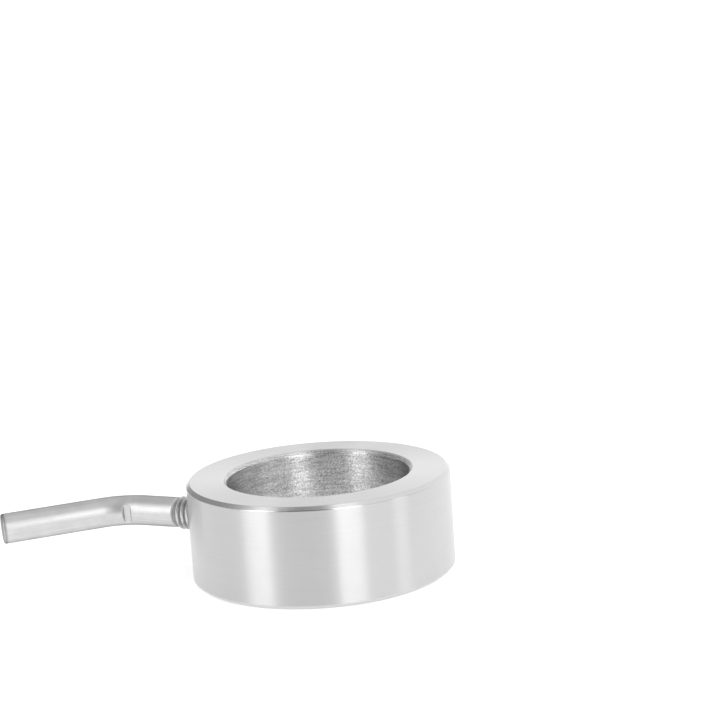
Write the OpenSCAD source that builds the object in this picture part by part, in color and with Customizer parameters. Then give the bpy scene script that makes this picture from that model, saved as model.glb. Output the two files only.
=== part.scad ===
// Ring collar with a bent locking screw.
// A solid steel ring slides over a bar sleeve. One radial screw, bent into its own handle, clamps it there.
// Z runs along the bar and the screw's axis along -X. They cross at the origin, the middle of the bar hole.

/* [Ring] */
// Diameter of the hole that the bar sleeve passes through
bore_d = 51; // [40:0.5:60]
// Thickness of the ring's wall between hole and outside
wall = 11.25; // [9:0.25:16]
// Width of the ring along the bar
ring_w = 28; // [20:1:40]
// Chamfer on the ring's two outer edges
edge_chamfer = 1.0; // [0.4:0.1:2]
// Chamfer on both ends of the bar hole
bore_chamfer = 1.0; // [0.4:0.1:2]

/* [Screw thread] */
// Outside diameter of the screw's thread
thread_d = 9.5; // [8:0.1:12]
// Advance of the screw in one turn
pitch = 1.5875; // [1.25:0.0125:2]
// Gap between the screw's thread and the tapped hole's, on every face
thread_gap = 0.08; // [0.06:0.01:0.1]
// How far the screw's point is held back from the bar hole, as stored
point_recess = 0.5; // [0.2:0.1:3]
// Length of thread that stands out of the ring, as stored
thread_out = 9.3; // [9:0.1:14]

/* [Handle] */
// Diameter of the plain rod, which is the blank that the thread was rolled on
rod_d = 8.7; // [7.8:0.1:9.2]
// Straight plain rod between the thread and the bend
neck_len = 10.8; // [6:0.1:20]
// Radius of the bend, to the middle of the rod
bend_radius = 19; // [14:0.5:30]
// Angle that the handle is bent through
bend_angle = 40; // [20:1:60]
// Straight rod beyond the bend
arm_len = 29; // [15:1:60]
// Angle that the handle hangs below level, as stored
handle_dip = 2.5; // [-30:0.5:30]
// Width of the mark that the bending tool left inside the bend
mark_w = 2.0; // [1:0.1:4]
// Depth of that mark
mark_depth = 0.9; // [0.2:0.1:1.2]
// Place of that mark, as a share of the bend from the thread's side
mark_share = 0.35; // [0.2:0.05:0.8]

/* [Hidden] */

$fn = 96;
thread_fn = 32;

bore_r = bore_d / 2;
ring_r = bore_r + wall;
thread_r = thread_d / 2;
rod_r = rod_d / 2;

// A 60 degree thread: the flats are an eighth of the pitch at the crest, the depth is 0.614 of the pitch.
crest_w = pitch / 8;
thread_depth = 0.614 * pitch;
core_r = thread_r - thread_depth;
hole_r = core_r + thread_gap;

// Places along the screw, measured outward from the ring's axis.
point_len = 1.0;
point_r = core_r - 0.5;
point_at = bore_r + point_recess;
thread_at = point_at + point_len;
shank_at = ring_r + thread_out;
bend_at = shank_at + neck_len;

tip_chamfer = 0.4;
mark_slope = 0.6;

// The rod's pieces meet end to end. Next to the bend and the neck they are a hair thinner, and the arm
// starts a little inside the bend, so that they all fuse into one solid.
seam_r = rod_r - 0.01;
arm_lap = 0.05;

steel = [0.78, 0.79, 0.80];
zinc = [0.66, 0.67, 0.68];

// Stands a shape that was drawn upright along the screw's axis: +Z becomes -X.
module along_screw() {
    rotate([0, -90, 0]) children();
}

// One helical ridge from height z0 to z1 about Z. The phase is tied to z = 0, so ridges drawn by
// separate calls mesh. The ridge grows by gap on every face. It rises from nothing over the first
// fade_in turns and sinks back over the last fade_out turns.
module helical_ridge(z0, z1, gap = 0, fade_in = 0, fade_out = 0) {
    root_r = core_r - 0.12;
    steps = ceil((z1 - z0) / pitch * thread_fn);
    first = round(z0 / pitch * thread_fn);
    function rise(i) = min(1, fade_in > 0 ? i / (fade_in * thread_fn) : 1,
                           fade_out > 0 ? (steps - i) / (fade_out * thread_fn) : 1);
    function crest(i) = root_r + 0.04 + (thread_r + gap - root_r - 0.04) * rise(i);
    function half(r) = crest_w / 2 + gap / cos(30) + (thread_r + gap - r) * tan(30);
    function ring_of(i) = let (a = 360 * (first + i) / thread_fn, z = pitch * (first + i) / thread_fn)
        [for (p = [[root_r, -half(root_r)], [crest(i), -half(crest(i))],
                   [crest(i), half(crest(i))], [root_r, half(root_r)]])
            [p[0] * cos(a), p[0] * sin(a), z + p[1]]];
    points = [for (i = [0:steps]) each ring_of(i)];
    sides = [for (i = [0:steps - 1]) for (k = [0:3]) let (a = 4 * i + k, b = 4 * i + (k + 1) % 4)
        each [[a, b, b + 4], [a, b + 4, a + 4]]];
    first_end = [[0, 3, 2], [0, 2, 1]];
    last = 4 * steps;
    last_end = [[last, last + 1, last + 2], [last, last + 2, last + 3]];
    polyhedron(points, concat(sides, first_end, last_end), convexity = 10);
}

// The ring's section, with its four chamfers, turned about the bar's axis.
module ring_blank() {
    face_z = ring_w / 2;
    rotate_extrude($fn = 180) polygon([
        [bore_r + bore_chamfer, -face_z], [ring_r - edge_chamfer, -face_z],
        [ring_r, edge_chamfer - face_z], [ring_r, face_z - edge_chamfer],
        [ring_r - edge_chamfer, face_z], [bore_r + bore_chamfer, face_z],
        [bore_r, face_z - bore_chamfer], [bore_r, bore_chamfer - face_z]]);
}

// The tapped hole, from inside the bar hole to outside the ring, with a countersunk mouth.
module tapped_hole() {
    along_screw() {
        translate([0, 0, bore_r - 3]) cylinder(h = wall + 6, r = hole_r);
        helical_ridge(bore_r - 2 * pitch, ring_r + pitch, gap = thread_gap);
        translate([0, 0, ring_r - 1.1]) cylinder(h = 2, r1 = hole_r, r2 = hole_r + 2);
    }
}

module collar_ring() {
    color(steel) difference() {
        ring_blank();
        tapped_hole();
    }
}

// The plain round point that presses on the bar.
module screw_point() {
    color(zinc) along_screw() translate([0, 0, point_at]) {
        cylinder(h = 0.4, r1 = point_r - 0.4, r2 = point_r);
        translate([0, 0, 0.4]) cylinder(h = point_len - 0.4, r = point_r);
    }
}

// Thread core and run-out cone, up to the plain rod.
module thread_core() {
    runout = 0.8;
    translate([0, 0, thread_at]) cylinder(h = shank_at - runout - thread_at, r = core_r);
    translate([0, 0, shank_at - runout]) cylinder(h = runout, r1 = core_r, r2 = seam_r);
}

// Plain rod: neck, bend towards -Y, and arm with a chamfered end.
module handle_rod() {
    straight = arm_len - tip_chamfer;
    translate([0, 0, shank_at]) cylinder(h = neck_len, r = rod_r);
    translate([0, -bend_radius, bend_at]) {
        rotate([90, 0, 90]) rotate_extrude(angle = bend_angle, $fn = 180)
            translate([bend_radius, 0]) circle(rod_r);
        rotate([bend_angle, 0, 0]) translate([0, bend_radius, 0]) {
            translate([0, 0, -arm_lap]) cylinder(h = straight + arm_lap, r = seam_r);
            translate([0, 0, straight]) cylinder(h = tip_chamfer, r1 = seam_r, r2 = seam_r - tip_chamfer);
        }
    }
}

// The flat with sloping sides that the bending tool pressed across the inside of the bend.
module bend_mark() {
    floor_y = bend_radius - rod_r + mark_depth;
    side = mark_w / 2;
    translate([0, -bend_radius, bend_at]) rotate([bend_angle * mark_share, 0, 0])
        rotate([90, 0, 90]) linear_extrude(rod_d, center = true) polygon([
            [floor_y, -side], [floor_y, side],
            [floor_y - 2, side + 2 * mark_slope], [floor_y - 2, -side - 2 * mark_slope]]);
}

module locking_screw() {
    color(zinc) along_screw() {
        thread_core();
        helical_ridge(thread_at + 0.8, shank_at - 0.4, fade_in = 0.6, fade_out = 1);
        rotate([0, 0, -handle_dip]) difference() {
            handle_rod();
            bend_mark();
        }
    }
}

collar_ring();
locking_screw();
screw_point();
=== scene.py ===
"""A ring collar with a bent locking screw: looks, floor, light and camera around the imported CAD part."""

import math

import bpy
import numpy as np
from mathutils import Matrix, Vector


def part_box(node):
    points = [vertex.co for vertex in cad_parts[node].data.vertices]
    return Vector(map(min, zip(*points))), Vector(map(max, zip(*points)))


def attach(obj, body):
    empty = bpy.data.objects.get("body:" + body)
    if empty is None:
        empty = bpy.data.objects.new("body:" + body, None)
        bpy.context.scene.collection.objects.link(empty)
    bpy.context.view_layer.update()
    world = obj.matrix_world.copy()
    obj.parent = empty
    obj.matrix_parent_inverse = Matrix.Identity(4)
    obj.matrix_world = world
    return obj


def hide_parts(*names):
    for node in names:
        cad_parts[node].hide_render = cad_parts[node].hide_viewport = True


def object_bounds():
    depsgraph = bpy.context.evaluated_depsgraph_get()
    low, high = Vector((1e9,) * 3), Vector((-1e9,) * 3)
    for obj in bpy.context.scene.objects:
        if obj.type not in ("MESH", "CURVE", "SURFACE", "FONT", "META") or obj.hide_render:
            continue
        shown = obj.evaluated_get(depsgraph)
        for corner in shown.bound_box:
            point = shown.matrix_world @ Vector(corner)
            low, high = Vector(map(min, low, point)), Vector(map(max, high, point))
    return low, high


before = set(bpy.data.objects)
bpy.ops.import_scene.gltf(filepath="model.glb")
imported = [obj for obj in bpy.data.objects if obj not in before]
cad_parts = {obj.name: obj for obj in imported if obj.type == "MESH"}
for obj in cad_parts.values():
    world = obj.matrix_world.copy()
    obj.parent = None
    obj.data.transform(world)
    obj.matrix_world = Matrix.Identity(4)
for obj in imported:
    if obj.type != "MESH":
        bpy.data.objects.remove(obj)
START_BOUNDS = [list(corner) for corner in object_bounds()]

MM = 0.001
RING_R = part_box("collar_ring")[1][0]
BORE_R = RING_R - 11.25 * MM
FLOOR_Z = START_BOUNDS[0][2]

# The screw's sizes, as in the CAD part. Places along it are measured outward from the ring's axis.
PITCH = 1.5875 * MM
THREAD_R = 4.75 * MM
CORE_R = THREAD_R - 0.614 * PITCH
ROD_R = 4.35 * MM
THREAD_AT = 27.0 * MM
SHANK_AT = 46.05 * MM
BEND_AT = 56.85 * MM
BEND_RADIUS = 19.0 * MM
BEND_ANGLE = math.radians(40)
ARM_LEN = 29.0 * MM
HANDLE_DIP = math.radians(2.5)
MARK_W = 2.0 * MM
MARK_DEPTH = 0.9 * MM
MARK_SHARE = 0.35

BEND_LEN = BEND_RADIUS * BEND_ANGLE
ARM_AT = BEND_AT + BEND_LEN
TIP_AT = ARM_AT + ARM_LEN

# Softer details, which only the visual model has.
CREST_ROUND = 0.06 * MM
MARK_SLOPE = 0.8 * MM
RUNOUT = 0.8 * MM
TIP_EDGE = 0.7 * MM
AROUND = 128

# The studio. Azimuths are in degrees about +Z from +X, and a brightness of 1 is white.
CAMERA_AT = Vector((0.24044, -0.47923, 0.14961))
CAMERA_AIM = Vector((0.00962, 0.01373, 0.04242))
CAMERA_ROLL = math.radians(-3.95)
CAMERA_AZIMUTH = -63.3
ROOM = 1.08
BACKDROP = 1.2
STRIP_AZIMUTH = -80.3
# Name, azimuth from the camera's, width, lowest and highest elevation in degrees, and brightness.
SOFTBOXES = (
    ("softbox_left", -57, 24, 7, 52, 2.2),
    ("softbox_right", 23.5, 23, 7, 52, 2.3),
    ("softbox_far", 70, 13, 3, 22, 1.1),
)


# ---- nodes -------------------------------------------------------------------------------------------


def put(tree, socket, value):
    if isinstance(value, bpy.types.NodeSocket):
        tree.links.new(value, socket)
    else:
        socket.default_value = value


def math_node(tree, operation, a, b=0.0):
    node = tree.nodes.new("ShaderNodeMath")
    node.operation = operation
    put(tree, node.inputs[0], a)
    put(tree, node.inputs[1], b)
    return node.outputs[0]


def add(tree, a, b):
    return math_node(tree, "ADD", a, b)


def times(tree, a, b):
    return math_node(tree, "MULTIPLY", a, b)


def centred(tree, value, spread):
    return times(tree, math_node(tree, "SUBTRACT", value, 0.5), spread)


def level_length(tree, x, y):
    return math_node(tree, "SQRT", add(tree, times(tree, x, x), times(tree, y, y)))


def remap(tree, value, low, high, out_low=0.0, out_high=1.0):
    node = tree.nodes.new("ShaderNodeMapRange")
    node.interpolation_type = "SMOOTHSTEP"
    for socket, item in zip(node.inputs, (value, low, high, out_low, out_high)):
        put(tree, socket, item)
    return node.outputs[0]


def noise(tree, vector, scale, detail=3.0, rough=0.5):
    node = tree.nodes.new("ShaderNodeTexNoise")
    for name, value in (("Vector", vector), ("Scale", scale), ("Detail", detail), ("Roughness", rough)):
        put(tree, node.inputs[name], value)
    return node.outputs[0]


def combine(tree, x, y, z):
    node = tree.nodes.new("ShaderNodeCombineXYZ")
    for socket, value in zip(node.inputs, (x, y, z)):
        put(tree, socket, value)
    return node.outputs[0]


def split(tree, vector):
    node = tree.nodes.new("ShaderNodeSeparateXYZ")
    tree.links.new(vector, node.inputs[0])
    return node.outputs


def grey(tree, value):
    return combine(tree, value, value, value)


def blend(tree, share, low, high):
    node = tree.nodes.new("ShaderNodeMix")
    for socket, value in zip(node.inputs[:1] + node.inputs[2:4], (share, low, high)):
        put(tree, socket, value)
    return node.outputs[0]


def bump(tree, height, distance, normal=None):
    node = tree.nodes.new("ShaderNodeBump")
    put(tree, node.inputs["Strength"], 1.0)
    put(tree, node.inputs["Distance"], distance)
    put(tree, node.inputs["Height"], height)
    if normal:
        put(tree, node.inputs["Normal"], normal)
    return node.outputs[0]


def object_place(tree):
    return tree.nodes.new("ShaderNodeTexCoord").outputs["Object"]


def surface_normal(tree):
    return tree.nodes.new("ShaderNodeNewGeometry").outputs["Normal"]


def point_value(tree, name, output):
    node = tree.nodes.new("ShaderNodeAttribute")
    node.attribute_name = name
    return node.outputs[output]


def rounded_edges(tree, radius):
    """The normal with its sharp edges rounded off, and a mask that is 1 where they are."""
    rounding = tree.nodes.new("ShaderNodeBevel")
    rounding.samples = 8
    rounding.inputs["Radius"].default_value = radius
    turn = tree.nodes.new("ShaderNodeVectorMath")
    turn.operation = "DOT_PRODUCT"
    put(tree, turn.inputs[0], rounding.outputs[0])
    put(tree, turn.inputs[1], surface_normal(tree))
    return rounding.outputs[0], remap(tree, turn.outputs["Value"], 0.995, 0.97)


def new_material(name):
    material = bpy.data.materials.new(name)
    material.use_nodes = True
    return material, material.node_tree, material.node_tree.nodes["Principled BSDF"].inputs


# ---- materials ---------------------------------------------------------------------------------------


def ring_steel():
    """Bright plate over a turned ring: brushed outside and on its faces, coarse marks in the bar hole."""
    material, tree, shader = new_material("ring_plate")
    place = object_place(tree)
    x, y, z = split(tree, place)
    radius = level_length(tree, x, y)
    east = math_node(tree, "DIVIDE", x, radius)
    north = math_node(tree, "DIVIDE", y, radius)
    across = add(tree, times(tree, radius, 1.3), z)

    def turned_noise(stretch, fine):
        """Noise in lines that run round the ring."""
        vector = combine(tree, times(tree, east, stretch), times(tree, north, stretch),
                         times(tree, across, fine))
        return noise(tree, vector, 1.0, 4.0, 0.6)

    brushing = turned_noise(1.6, 9000)
    tool_marks = turned_noise(3.0, 1500)
    nodules = noise(tree, place, 3600.0, 2.0, 0.6)
    clouds = noise(tree, place, 160.0)

    # Masks that are 1 in the bar hole, on the faces and chamfers, and along the edges.
    bore = remap(tree, radius, BORE_R + 0.9 * MM, BORE_R + 0.6 * MM)
    facing = split(tree, surface_normal(tree))[2]
    slope = remap(tree, math_node(tree, "ABSOLUTE", facing), 0.1, 0.5)
    rounded, edge = rounded_edges(tree, 0.35 * MM)

    rough = blend(tree, bore, blend(tree, slope, 0.29, 0.22), 0.32)
    rough = blend(tree, edge, rough, 0.12)
    put(tree, shader["Roughness"], add(tree, rough, centred(tree, clouds, 0.06)))

    pits = remap(tree, nodules, 0.38, 0.62, -0.27, 0.27)
    streaks = remap(tree, tool_marks, 0.35, 0.65, -0.1, 0.1)
    # The faces and chamfers get a lighter base than the outer wall: painted light on the faces.
    shade = blend(tree, bore, blend(tree, slope, 0.635, 0.67), 0.63)
    shade = add(tree, shade, centred(tree, clouds, 0.05))
    shade = add(tree, shade, times(tree, add(tree, pits, streaks), bore))
    shade = times(tree, shade, remap(tree, brushing, 0.3, 0.7, 0.975, 1.02))
    put(tree, shader["Base Color"], grey(tree, shade))

    brushed = bump(tree, brushing, 0.002 * MM, rounded)
    marks = add(tree, times(tree, tool_marks, 1.2), times(tree, nodules, 0.13))
    put(tree, shader["Normal"], bump(tree, times(tree, marks, bore), 0.1 * MM, brushed))

    tangent = tree.nodes.new("ShaderNodeTangent")
    tangent.direction_type = "RADIAL"
    tangent.axis = "Z"
    put(tree, shader["Tangent"], tangent.outputs[0])
    shader["Metallic"].default_value = 1.0
    shader["Anisotropic"].default_value = 1.0
    shader["Anisotropic Rotation"].default_value = 0.25
    return material


def rod_steel(name, swept):
    """Satin plate over drawn rod with small dark spots at random. A swept mesh also gets lines along it, and
    painted shade from a point attribute: in the thread's roots and on the tip's edge.
    """
    material, tree, shader = new_material(name)
    place = object_place(tree)
    clouds = noise(tree, place, 220.0)
    grain = noise(tree, place, 2600.0, 2.0)
    # Small dark spots at random over the rod, in colour only.
    dark_spots = remap(tree, noise(tree, place, 750.0, 1.0), 0.77, 0.83)
    shade = remap(tree, clouds, 0.3, 0.7, 0.61, 0.67)
    shade = times(tree, shade, blend(tree, dark_spots, 1.0, 0.5))
    height = times(tree, grain, 0.35)
    if swept:
        lines = noise(tree, point_value(tree, "flow", "Vector"), 14.0, 4.0, 0.6)
        height = add(tree, height, lines)
        shade = times(tree, shade, remap(tree, lines, 0.3, 0.7, 0.93, 1.05))
        # Painted shade from the point attribute: darker in the thread's roots, the run-out, the inner end and
        # on the tip's edge.
        shade = times(tree, shade, remap(tree, point_value(tree, "painted_shade", "Fac"), 0.0, 1.0, 1.0, 0.5))
    put(tree, shader["Base Color"], grey(tree, shade))
    put(tree, shader["Roughness"], remap(tree, clouds, 0.3, 0.7, 0.38, 0.46))
    put(tree, shader["Normal"], bump(tree, height, 0.012 * MM))
    shader["Specular Tint"].default_value = (0.2, 0.2, 0.2, 1.0)
    shader["Metallic"].default_value = 1.0
    return material


def floor_white():
    """Paper white with a little glow, so that the floor runs into the backdrop without a horizon."""
    material, tree, shader = new_material("floor_white")
    shade = remap(tree, noise(tree, object_place(tree), 30.0), 0.3, 0.7, 0.69, 0.71)
    put(tree, shader["Base Color"], grey(tree, shade))
    shader["Roughness"].default_value = 0.6
    shader["Specular IOR Level"].default_value = 0.0
    shader["Emission Color"].default_value = (1.0, 1.0, 1.0, 1.0)
    shader["Emission Strength"].default_value = 0.58
    return material


# ---- the screw ---------------------------------------------------------------------------------------


def centreline(s):
    """Point, inward normal of the bend and tangent of the rod's middle line at place s."""
    side = Vector((0, -math.cos(HANDLE_DIP), -math.sin(HANDLE_DIP)))
    out = Vector((-1, 0, 0))
    turn = min(max((s - BEND_AT) / BEND_RADIUS, 0), BEND_ANGLE)
    point = out * (min(s, BEND_AT) + BEND_RADIUS * math.sin(turn)) + side * BEND_RADIUS * (1 - math.cos(turn))
    tangent = out * math.cos(turn) + side * math.sin(turn)
    inward = side * math.cos(turn) - out * math.sin(turn)
    return point + tangent * max(s - ARM_AT, 0), inward, tangent


def smooth(value):
    value = np.clip(value, 0, 1)
    return value * value * (3 - 2 * value)


def ridge_radius(s, angles):
    """The thread's radius at place s and at each angle. Its crest follows the tapped hole's helix."""
    phase = s / PITCH - (angles - HANDLE_DIP - math.pi / 2) / (2 * math.pi)
    off = np.abs(phase - np.round(phase)) * PITCH
    below = np.maximum(off - PITCH / 16, 0) / math.tan(math.radians(30))
    rounded = THREAD_R - 0.02 * MM + CREST_ROUND - np.sqrt(below ** 2 + CREST_ROUND ** 2)
    fade_in = smooth((s - THREAD_AT - 0.2 * MM) / (0.9 * PITCH))
    fade_out = smooth((SHANK_AT - 0.3 * MM - s) / PITCH)
    return CORE_R + (np.maximum(rounded, CORE_R) - CORE_R) * fade_in * fade_out


def core_radius(s):
    return CORE_R + (ROD_R - CORE_R) * smooth((s - SHANK_AT + RUNOUT) / RUNOUT)


def section(s, angles):
    """The outline at place s, as distances along the bend's inward normal and along its binormal."""
    if s < SHANK_AT:
        radius = np.maximum(core_radius(s), ridge_radius(s, angles))
    else:
        radius = np.full(AROUND, ROD_R)
    gap = abs(s - BEND_AT - BEND_LEN * MARK_SHARE) - MARK_W / 2
    flat = ROD_R - MARK_DEPTH * (1 - smooth(gap / MARK_SLOPE))
    return np.minimum(radius * np.cos(angles), flat), radius * np.sin(angles)


def body_places():
    """The places of the rows along the rod, closer together where there is more detail."""
    stretches = ((THREAD_AT, SHANK_AT, 0.09), (SHANK_AT, BEND_AT, 0.5), (BEND_AT, ARM_AT, 0.12),
                 (ARM_AT, TIP_AT - TIP_EDGE, 0.6))
    return np.concatenate([np.linspace(start, end, round((end - start) / (step * MM)), endpoint=False)
                           for start, end, step in stretches])


def screw_rows(angles):
    """Every row of the mesh from the inner end to the tip: place, outline, and a share of painted shade,
    which is used past the thread.
    """
    cos, sin = np.cos(angles), np.sin(angles)
    for share in (0.02, 0.4, 0.8, 0.95):
        yield THREAD_AT, share * CORE_R * cos, share * CORE_R * sin, 0.0
    for s in body_places():
        yield s, *section(s, angles), 0.0
    # Painted shade on the tip's rounded edge, darkest where the rounding starts: a painted dark reflection of
    # the rim. The end face gets a little painted shade too.
    for step in range(9):
        turn = math.pi / 2 * step / 8
        radius = ROD_R - TIP_EDGE * (1 - math.cos(turn))
        yield TIP_AT - TIP_EDGE * (1 - math.sin(turn)), radius * cos, radius * sin, 0.8 - 0.09 * step
    for share in (0.82, 0.77, 0.5, 0.2, 0.02):
        yield TIP_AT, share * ROD_R * cos, share * ROD_R * sin, 0.1


def screw_mesh():
    angles = np.arange(AROUND) * 2 * math.pi / AROUND
    rows, flow, painted_shade = [], [], []
    for s, inward, over, painted_row_shade in screw_rows(angles):
        point, normal, tangent = centreline(s)
        p, n, b = (np.array(v) for v in (point, normal, tangent.cross(normal)))
        rows.append(p + inward[:, None] * n + over[:, None] * b)
        flow.append(np.stack((np.cos(angles), np.sin(angles), np.full(AROUND, s * 4)), 1))
        # Painted shade: along the thread, the deeper a point lies below the rod's full radius, the darker it
        # is painted. This darkens the thread's roots, the run-out and the inner end. Past the thread, each
        # row's own share is used.
        low = 1 - (np.hypot(inward, over) - CORE_R) / (ROD_R - CORE_R)
        painted_shade.append(np.clip(low, 0, 1) if s < SHANK_AT else np.full(AROUND, painted_row_shade))

    faces = []
    for start in range(0, (len(rows) - 1) * AROUND, AROUND):
        for k in range(AROUND):
            a, b = start + k, start + (k + 1) % AROUND
            faces.append((a, b, b + AROUND, a + AROUND))
    faces.append(tuple(reversed(range(AROUND))))
    faces.append(tuple(range((len(rows) - 1) * AROUND, len(rows) * AROUND)))

    mesh = bpy.data.meshes.new("screw_body")
    mesh.from_pydata(np.concatenate(rows).tolist(), [], faces)
    flow_data = mesh.attributes.new("flow", "FLOAT_VECTOR", "POINT")
    flow_data.data.foreach_set("vector", np.concatenate(flow).astype(np.float32).ravel())
    painted_shade_data = mesh.attributes.new("painted_shade", "FLOAT", "POINT")
    painted_shade_data.data.foreach_set("value", np.concatenate(painted_shade).astype(np.float32))
    mesh.shade_smooth()
    mesh.update()
    mesh.materials.append(rod_steel("screw_plate", True))
    return mesh


def build_screw():
    item = bpy.data.objects.new("screw_body", screw_mesh())
    bpy.context.scene.collection.objects.link(item)
    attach(item, "screw")
    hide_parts("locking_screw")


def dress_frame():
    for name, material in (("collar_ring", ring_steel()), ("screw_point", rod_steel("point_plate", False))):
        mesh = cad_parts[name].data
        mesh.materials.clear()
        mesh.materials.append(material)


# ---- studio ------------------------------------------------------------------------------------------


def add_floor():
    bpy.ops.mesh.primitive_plane_add(size=6, location=(0, 0, FLOOR_Z))
    floor = bpy.context.object
    floor.name = "floor"
    floor.data.materials.append(floor_white())


def add_softbox(name, azimuth, width, low, high, radiance, distance=0.8):
    """A tall light that stands at an azimuth in degrees, from elevation low to high, facing the ring."""
    turn = math.radians(azimuth)
    bottom, top = (distance * math.tan(math.radians(angle)) for angle in (low, high))
    lamp = bpy.data.lights.new(name, "AREA")
    lamp.shape = "RECTANGLE"
    lamp.size = 2 * distance * math.tan(math.radians(width / 2))
    lamp.size_y = top - bottom
    lamp.energy = radiance * math.pi * lamp.size * lamp.size_y
    item = bpy.data.objects.new(name, lamp)
    bpy.context.scene.collection.objects.link(item)
    item.location = (distance * math.cos(turn), distance * math.sin(turn), (top + bottom) / 2)
    item.rotation_euler = (math.pi / 2, 0, turn + math.pi / 2)
    item.visible_camera = False


def add_world():
    """A bright room, dimmer at both ends and with one dark strip. The camera sees a white backdrop."""
    world = bpy.data.worlds.new("studio")
    bpy.context.scene.world = world
    world.use_nodes = True
    tree = world.node_tree
    x, y, z = split(tree, tree.nodes.new("ShaderNodeTexCoord").outputs["Generated"])

    ceiling = remap(tree, x, -0.1, 0.25, 0.7, 1.05)
    light = blend(tree, remap(tree, z, 0.5, 0.9), ROOM, ceiling)
    light = times(tree, light, remap(tree, x, -0.45, -0.85, 1.0, 0.3))
    light = times(tree, light, remap(tree, x, 0.5, 0.9, 1.0, 0.72))

    middle = math.radians(STRIP_AZIMUTH)
    toward = add(tree, times(tree, x, math.cos(middle)), times(tree, y, math.sin(middle)))
    toward = math_node(tree, "DIVIDE", toward, level_length(tree, x, y))
    strip = remap(tree, toward, math.cos(math.radians(36)), math.cos(math.radians(16)))
    strip = times(tree, strip, remap(tree, z, 1.0, 0.9))
    light = blend(tree, strip, light, remap(tree, z, 0.35, 0.6, 0.18, 0.08))

    seen = tree.nodes.new("ShaderNodeLightPath").outputs["Is Camera Ray"]
    background = tree.nodes["Background"].inputs
    put(tree, background["Strength"], blend(tree, seen, light, BACKDROP))
    put(tree, background["Color"], (1.0, 1.0, 1.0, 1.0))


def add_light():
    add_world()
    for name, azimuth, *shape in SOFTBOXES:
        add_softbox(name, CAMERA_AZIMUTH + azimuth, *shape)


def add_camera():
    camera = bpy.data.cameras.new("camera")
    camera.sensor_width = 36
    camera.lens = 98.56
    camera.dof.use_dof = False
    item = bpy.data.objects.new("camera", camera)
    bpy.context.scene.collection.objects.link(item)
    back = -(CAMERA_AIM - CAMERA_AT).normalized()
    level = Vector((0, 0, 1)).cross(back).normalized()
    right = Matrix.Rotation(CAMERA_ROLL, 3, back) @ level
    turn = Matrix((right, back.cross(right), back)).transposed()
    item.matrix_world = Matrix.Translation(CAMERA_AT) @ turn.to_4x4()
    bpy.context.scene.camera = item


dress_frame()
build_screw()
add_floor()
add_light()
add_camera()
bpy.context.scene.view_settings.view_transform = "Standard"
